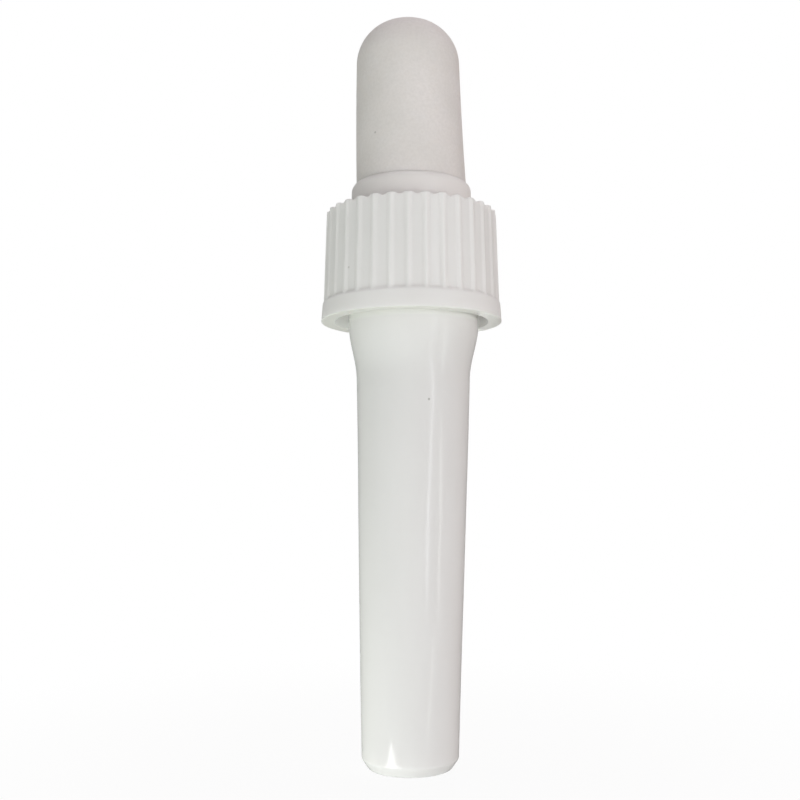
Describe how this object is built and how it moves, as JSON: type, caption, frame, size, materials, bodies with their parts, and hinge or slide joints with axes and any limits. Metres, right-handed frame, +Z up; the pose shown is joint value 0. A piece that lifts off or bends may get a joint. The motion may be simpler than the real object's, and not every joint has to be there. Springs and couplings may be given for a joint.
{
  "type": "dropper pipette in a cover tube",
  "caption": "Plastic dropper pipette with a rubber teat and ribbed screw cap, stored upright in a closed, tapered cover tube.",
  "frame": {"origin": "centre of the cover tube's flat foot, on the surface that it stands on", "axes": "+Z up along the common axis, from the foot to the teat's dome; X and Y are level, and the part is round about Z apart from the cap's ribs"},
  "size_m": [0.0214, 0.0214, 0.0887],
  "materials": {
    "teat_rubber": "matte off-white",
    "cap_plastic": "moulded white, soft gloss",
    "tube_plastic": "moulded white, glossy",
    "pipette_plastic": "natural translucent"
  },
  "bodies": {
    "cover_tube": {"cover_tube": "tube_plastic"},
    "dropper": {"pipette": "pipette_plastic", "teat": "teat_rubber"},
    "cap": {"cap": "cap_plastic"}
  },
  "joints": [
    {"name": "dropper_lift", "type": "slide", "parent": "cover_tube", "child": "dropper", "axis": [0, 0, 1], "range_m": [0, 0.06]},
    {"name": "cap_turn", "type": "hinge", "parent": "dropper", "child": "cap", "pos_m": [0, 0, 0.0612], "axis": [0, 0, 1], "range_deg": [0, 360]}
  ]
}
